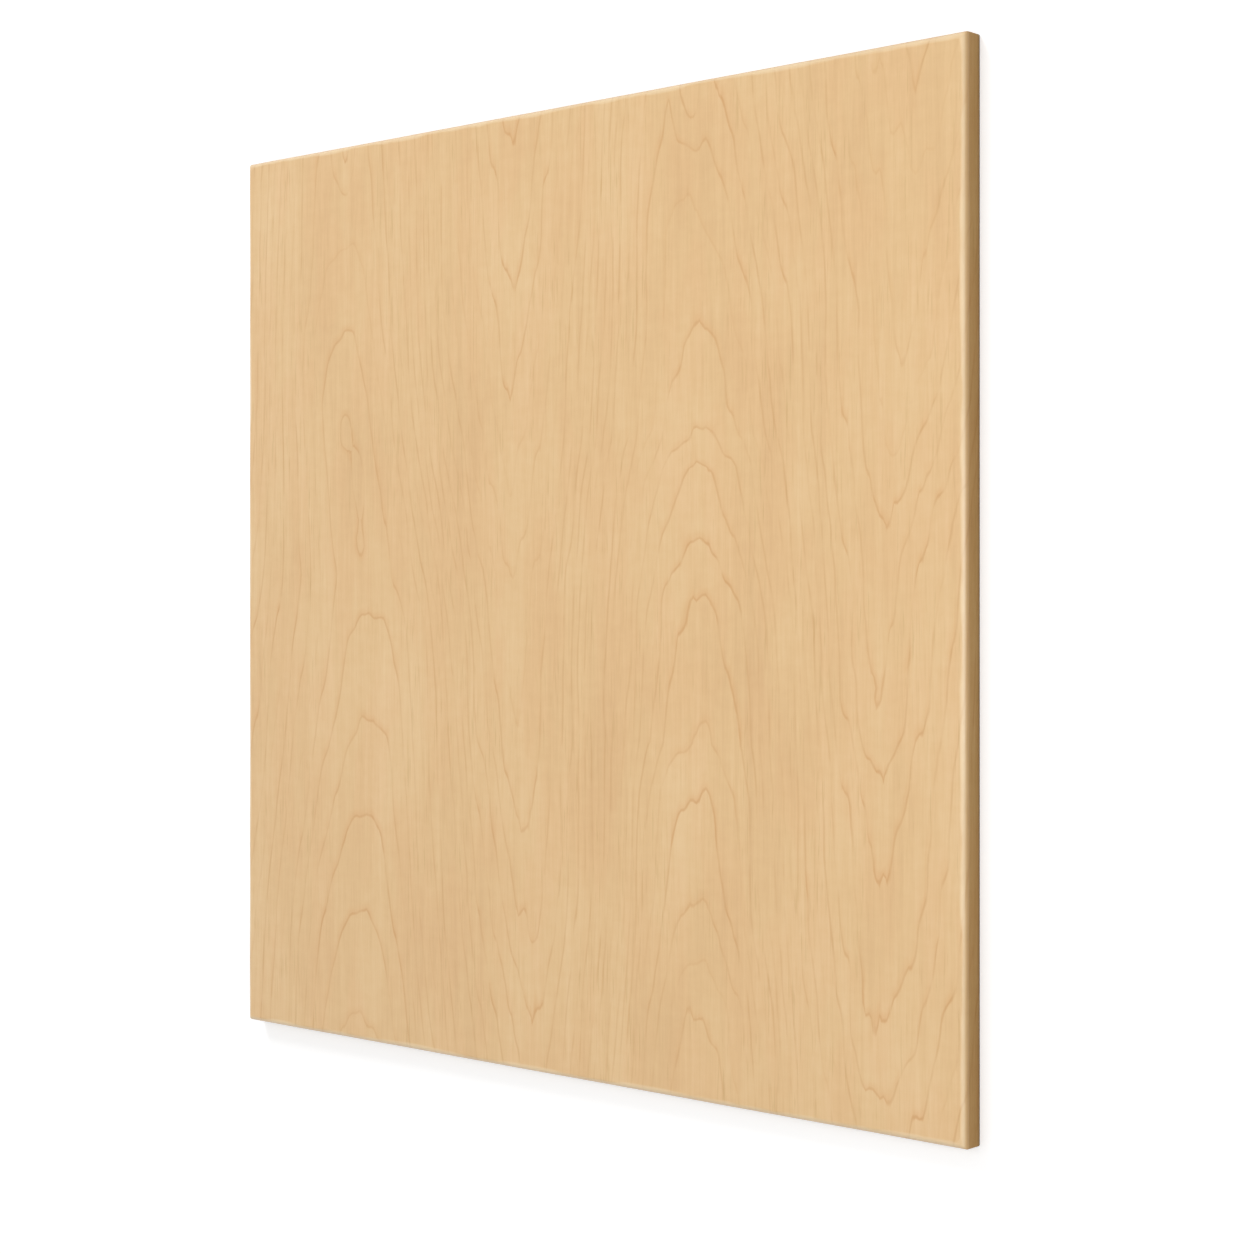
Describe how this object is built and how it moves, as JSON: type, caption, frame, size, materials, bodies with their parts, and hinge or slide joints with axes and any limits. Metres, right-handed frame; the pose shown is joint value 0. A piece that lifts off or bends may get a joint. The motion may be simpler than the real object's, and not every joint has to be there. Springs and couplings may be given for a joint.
{
  "type": "aluminium composite panel",
  "caption": "Flat square composite panel with a wood-grain coated face sheet folded back on every side round a lightweight core, closed by a plain back sheet.",
  "frame": {"origin": "middle of the back, on the plane of the back sheet and the ends of the folded returns", "axes": "+Z out of the decorated face, +Y along the wood grain, +X across the grain"},
  "size_m": [0.6, 0.6, 0.0135],
  "materials": {
    "decor_coating": "semi-gloss light maple wood-grain print on coated aluminium sheet",
    "core_foil": "bare aluminium honeycomb foil",
    "service_coating": "thin matt pale grey service coat on aluminium sheet"
  },
  "bodies": {
    "root": {"face_sheet": "decor_coating", "core": "core_foil", "back_sheet": "service_coating"}
  },
  "joints": []
}
